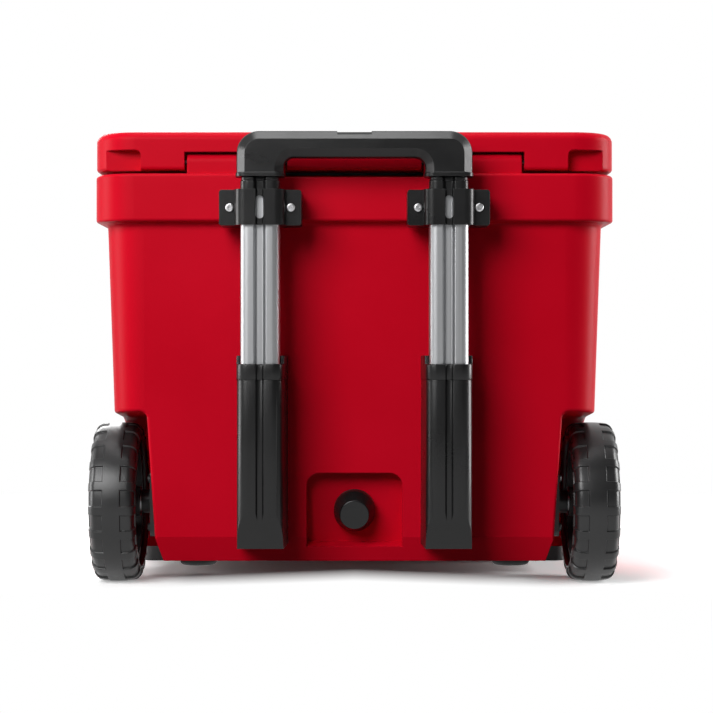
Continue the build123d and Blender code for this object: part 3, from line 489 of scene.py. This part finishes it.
def makeTyre(side):
    spec = tyreSpec
    half = spec["half"]
    bm = bmesh.new()
    slope = [(spec["band"], tyreRadius(spec["band"]))]
    for index in range(spec["crownSteps"]):  # the crown from the band to the shoulder
        x = spec["band"] + (half - spec["shoulder"] - spec["band"]) * (index + 1) / spec["crownSteps"]
        slope.append((x, tyreRadius(x)))
    for index in range(spec["shoulderSteps"]):  # round the shoulder
        turn = math.pi / 2 * (index + 1) / spec["shoulderSteps"]
        x = half - spec["shoulder"] + spec["shoulder"] * math.sin(turn)
        slope.append((x, tyreRadius(x)))
    slope.append((half, spec["reach"]))
    slope += [(half - inset, radius) for inset, radius in spec["bead"]]
    crown = [(x, tyreRadius(x)) for x in spec["ridge"]]
    right = crown + slope
    section = [(-x, radius) for x, radius in reversed(right)] + right
    ring = [bm.verts.new((x, 0, radius)) for x, radius in section]
    edges = [bm.edges.new(pair) for pair in zip(ring, ring[1:] + ring[:1])]
    perPitch = spec["pocketSteps"] + spec["gapSteps"]
    steps = spec["pockets"] * perPitch
    bmesh.ops.spin(
        bm, geom=ring + edges, axis=(1, 0, 0), cent=(0, 0, 0), angle=math.tau, steps=steps, use_merge=True
    )
    bmesh.ops.recalc_face_normals(bm, faces=bm.faces)
    pockets = []
    for face in bm.faces:
        middle = face.calc_center_median()
        radius = math.hypot(middle.y, middle.z)
        step = math.atan2(middle.y, middle.z) / math.tau * steps % perPitch
        onShoulder = abs(middle.x) > spec["band"] and radius > spec["reach"]
        if onShoulder and step < spec["pocketSteps"]:
            pockets.append(face)
    bmesh.ops.inset_region(
        bm, faces=pockets, thickness=spec["wall"], depth=-spec["deep"],
        use_boundary=True, use_even_offset=True
    )
    lipTurn = math.radians(spec["lipTurn"])
    lips = [e for e in bm.edges if e.is_manifold and e.calc_face_angle() > lipTurn]
    bmesh.ops.bevel(
        bm, geom=lips, offset=spec["edge"], segments=2, profile=0.5, affect="EDGES",
        material=-1, clamp_overlap=True
    )
    name = "tyre_" + side
    low, high = (Vector(corner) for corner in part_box(name))
    bmesh.ops.translate(bm, vec=(low + high) / 2, verts=bm.verts)
    piece = finishPiece("treadedTyre_" + side, bm, finishes["tyreSkin"])
    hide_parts(name)
    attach(piece, "wheel_" + side)


for side in ("left", "right"):
    makeTyre(side)
print("tyres made")


# floor that keeps the shadow and stays white to the lens, with painted fill light that cuts the shadow under
# the body short

# near and lean place painted fill light: the floor is painted white from under the body out towards the
# lens, starting nearer the lens beside the wheels
floorSpec = {
    "size": 6, "seen": 1.25, "bounce": 0.10, "fade": (0.75, 1.5), "near": (0.03, -0.10), "lean": 0.35,
}
floorBm = bmesh.new()
bmesh.ops.create_grid(floorBm, x_segments=1, y_segments=1, size=floorSpec["size"])
floorMesh = bpy.data.meshes.new("studioFloor")
floorBm.to_mesh(floorMesh)
floorBm.free()
floor = bpy.data.objects.new("studioFloor", floorMesh)
scene.collection.objects.link(floor)
floorFinish = bpy.data.materials.new("paleFloor")
floorFinish.use_nodes = True
floorTree = floorFinish.node_tree
floorTree.nodes.clear()
floorOut = floorTree.nodes.new("ShaderNodeOutputMaterial")
floorMatt = floorTree.nodes.new("ShaderNodeBsdfDiffuse")
floorSeen = mathNode(floorTree, "MAXIMUM", *seenRays(floorTree))
floorShade = rangeNode(floorTree, floorSeen, 0.0, 1.0, floorSpec["bounce"], floorSpec["seen"])
floorTree.links.new(floorShade, floorMatt.inputs["Color"])  # little light comes back up from it
floorPlace = floorTree.nodes.new("ShaderNodeTexCoord")  # far from the object the floor is the white backdrop
floorReach = floorTree.nodes.new("ShaderNodeVectorMath")
floorReach.operation = "LENGTH"
floorTree.links.new(floorPlace.outputs["Object"], floorReach.inputs[0])
floorFar = rangeNode(floorTree, floorReach.outputs["Value"], *floorSpec["fade"], 0.0, 1.0)
floorAxes = floorTree.nodes.new("ShaderNodeSeparateXYZ")
floorTree.links.new(floorPlace.outputs["Object"], floorAxes.inputs["Vector"])
floorSide = mathNode(floorTree, "ABSOLUTE", floorAxes.outputs["X"])
floorLine = mathNode(floorTree, "MULTIPLY_ADD", floorSide, floorSpec["lean"], floorAxes.outputs["Y"])
floorPaintedFill = rangeNode(floorTree, floorLine, *floorSpec["near"], 0.0, 1.0)  # painted fill light: the floor under the back of the body is painted white towards the lens, so its shadow stops short
# white backdrop far from the object, and painted fill light near the lens
floorBackdropAndPaintedFill = mathNode(floorTree, "MAXIMUM", floorFar, floorPaintedFill)
floorWhite = floorTree.nodes.new("ShaderNodeEmission")
floorFade = floorTree.nodes.new("ShaderNodeMixShader")
floorTree.links.new(mathNode(floorTree, "MULTIPLY", floorBackdropAndPaintedFill, floorSeen), floorFade.inputs["Fac"])
floorTree.links.new(floorMatt.outputs["BSDF"], floorFade.inputs[1])
floorTree.links.new(floorWhite.outputs["Emission"], floorFade.inputs[2])
floorTree.links.new(floorFade.outputs["Shader"], floorOut.inputs["Surface"])
floorMesh.materials.append(floorFinish)
print("floor laid")
